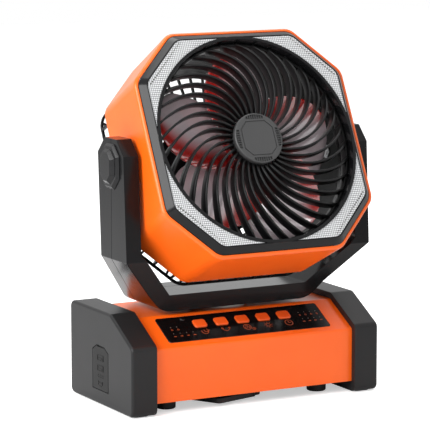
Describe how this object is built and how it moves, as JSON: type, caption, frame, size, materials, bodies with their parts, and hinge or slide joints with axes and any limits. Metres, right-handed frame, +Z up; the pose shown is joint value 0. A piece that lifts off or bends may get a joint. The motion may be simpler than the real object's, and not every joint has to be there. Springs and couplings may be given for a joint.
{
  "type": "portable camping fan",
  "caption": "Portable camping fan with a round ring light in an octagonal tilting head, carried by a panning U-shaped yoke on a base with end caps.",
  "frame": {"origin": "on the ground, in the middle of the base's footprint", "axes": "+X to the right along the base, +Y to the back, +Z up; the front with the buttons faces -Y"},
  "size_m": [0.2628, 0.1793, 0.3346],
  "materials": {
    "casing": "satin orange plastic",
    "black_plastic": "satin black plastic",
    "gloss_panel": "glossy black plastic",
    "buttons": "satin orange plastic",
    "rubber": "matt black rubber",
    "lens": "clear plastic with frosted corners",
    "reflector": "white",
    "blade": "glossy translucent red plastic",
    "board": "green circuit board",
    "chip": "pale yellow",
    "steel": "plain steel",
    "cell": "sleeved metal cans",
    "bearing": "pale bearing plastic"
  },
  "bodies": {
    "base": {"base_shell": "casing", "base_floor": "black_plastic", "left_end_cap": "black_plastic", "right_end_cap": "black_plastic", "control_panel": "gloss_panel", "remote_eye": "black_plastic", "control_board": "board", "tact_switches": "chip", "battery_cells": "cell", "battery_trays": "black_plastic", "port_board": "board", "usb_sockets": "steel", "dc_jack": "steel", "pan_bearing": "bearing", "swing_motor": "steel", "swing_motor_bracket": "steel", "rubber_feet": "rubber", "cap_pads": "rubber", "base_screws": "steel"},
    "night_button": {"button_night": "buttons"},
    "swing_button": {"button_swing": "buttons"},
    "speed_button": {"button_speed": "buttons"},
    "light_button": {"button_light": "buttons"},
    "timer_button": {"button_timer": "buttons"},
    "flap": {"port_cover": "rubber"},
    "hook_plate": {"hook_swivel_plate": "black_plastic"},
    "hook": {"hanging_hook": "black_plastic", "hook_pin": "steel"},
    "yoke": {"yoke_front": "black_plastic", "yoke_rear": "black_plastic", "pan_spindle": "bearing", "spindle_ring": "steel", "swing_shaft": "steel", "pivot_cover_left": "black_plastic", "pivot_cover_right": "black_plastic", "pivot_bolts": "steel", "pivot_washers": "bearing", "pivot_nuts": "steel", "yoke_screws": "steel"},
    "head": {"head_shell": "casing", "front_bezel": "black_plastic", "light_lens": "lens", "light_reflector": "reflector", "led_boards": "board", "led_chips": "chip", "front_grille": "black_plastic", "hub_cap": "black_plastic", "rear_grille": "black_plastic", "fan_motor": "steel", "shaft_bushes": "bearing", "motor_screws": "steel"},
    "rotor": {"fan_blade": "blade", "rotor_shaft": "steel", "blade_nut": "steel"}
  },
  "joints": [
    {"name": "pan", "type": "hinge", "parent": "base", "child": "yoke", "pos_m": [0, 0.014, 0.0851], "axis": [0, 0, 1], "range_deg": [-45, 45]},
    {"name": "tilt", "type": "hinge", "parent": "yoke", "child": "head", "pos_m": [0, -0.02, 0.221], "axis": [1, 0, 0], "range_deg": [-63, 117]},
    {"name": "spin", "type": "hinge", "parent": "head", "child": "rotor", "pos_m": [0, -0.02, 0.221], "axis": [0, -0.891, 0.454], "continuous": true},
    {"name": "flap_hinge", "type": "hinge", "parent": "base", "child": "flap", "pos_m": [-0.127, 0.0005, 0.0145], "axis": [0, -1, 0], "range_deg": [0, 95]},
    {"name": "hook_swivel", "type": "hinge", "parent": "base", "child": "hook_plate", "pos_m": [-0.0229, -0.0104, 0.0105], "axis": [0, 0, 1], "continuous": true},
    {"name": "hook_fold", "type": "hinge", "parent": "hook_plate", "child": "hook", "pos_m": [-0.02497, -0.00267, 0.00535], "axis": [0.9659, 0.2588, 0], "range_deg": [0, 90]},
    {"name": "night_press", "type": "slide", "parent": "base", "child": "night_button", "axis": [0, 0.4777, -0.8785], "range_m": [0, 0.0008], "stiffness_N_per_m": 1500},
    {"name": "swing_press", "type": "slide", "parent": "base", "child": "swing_button", "axis": [0, 0.4777, -0.8785], "range_m": [0, 0.0008], "stiffness_N_per_m": 1500},
    {"name": "speed_press", "type": "slide", "parent": "base", "child": "speed_button", "axis": [0, 0.4777, -0.8785], "range_m": [0, 0.0008], "stiffness_N_per_m": 1500},
    {"name": "light_press", "type": "slide", "parent": "base", "child": "light_button", "axis": [0, 0.4777, -0.8785], "range_m": [0, 0.0008], "stiffness_N_per_m": 1500},
    {"name": "timer_press", "type": "slide", "parent": "base", "child": "timer_button", "axis": [0, 0.4777, -0.8785], "range_m": [0, 0.0008], "stiffness_N_per_m": 1500}
  ]
}
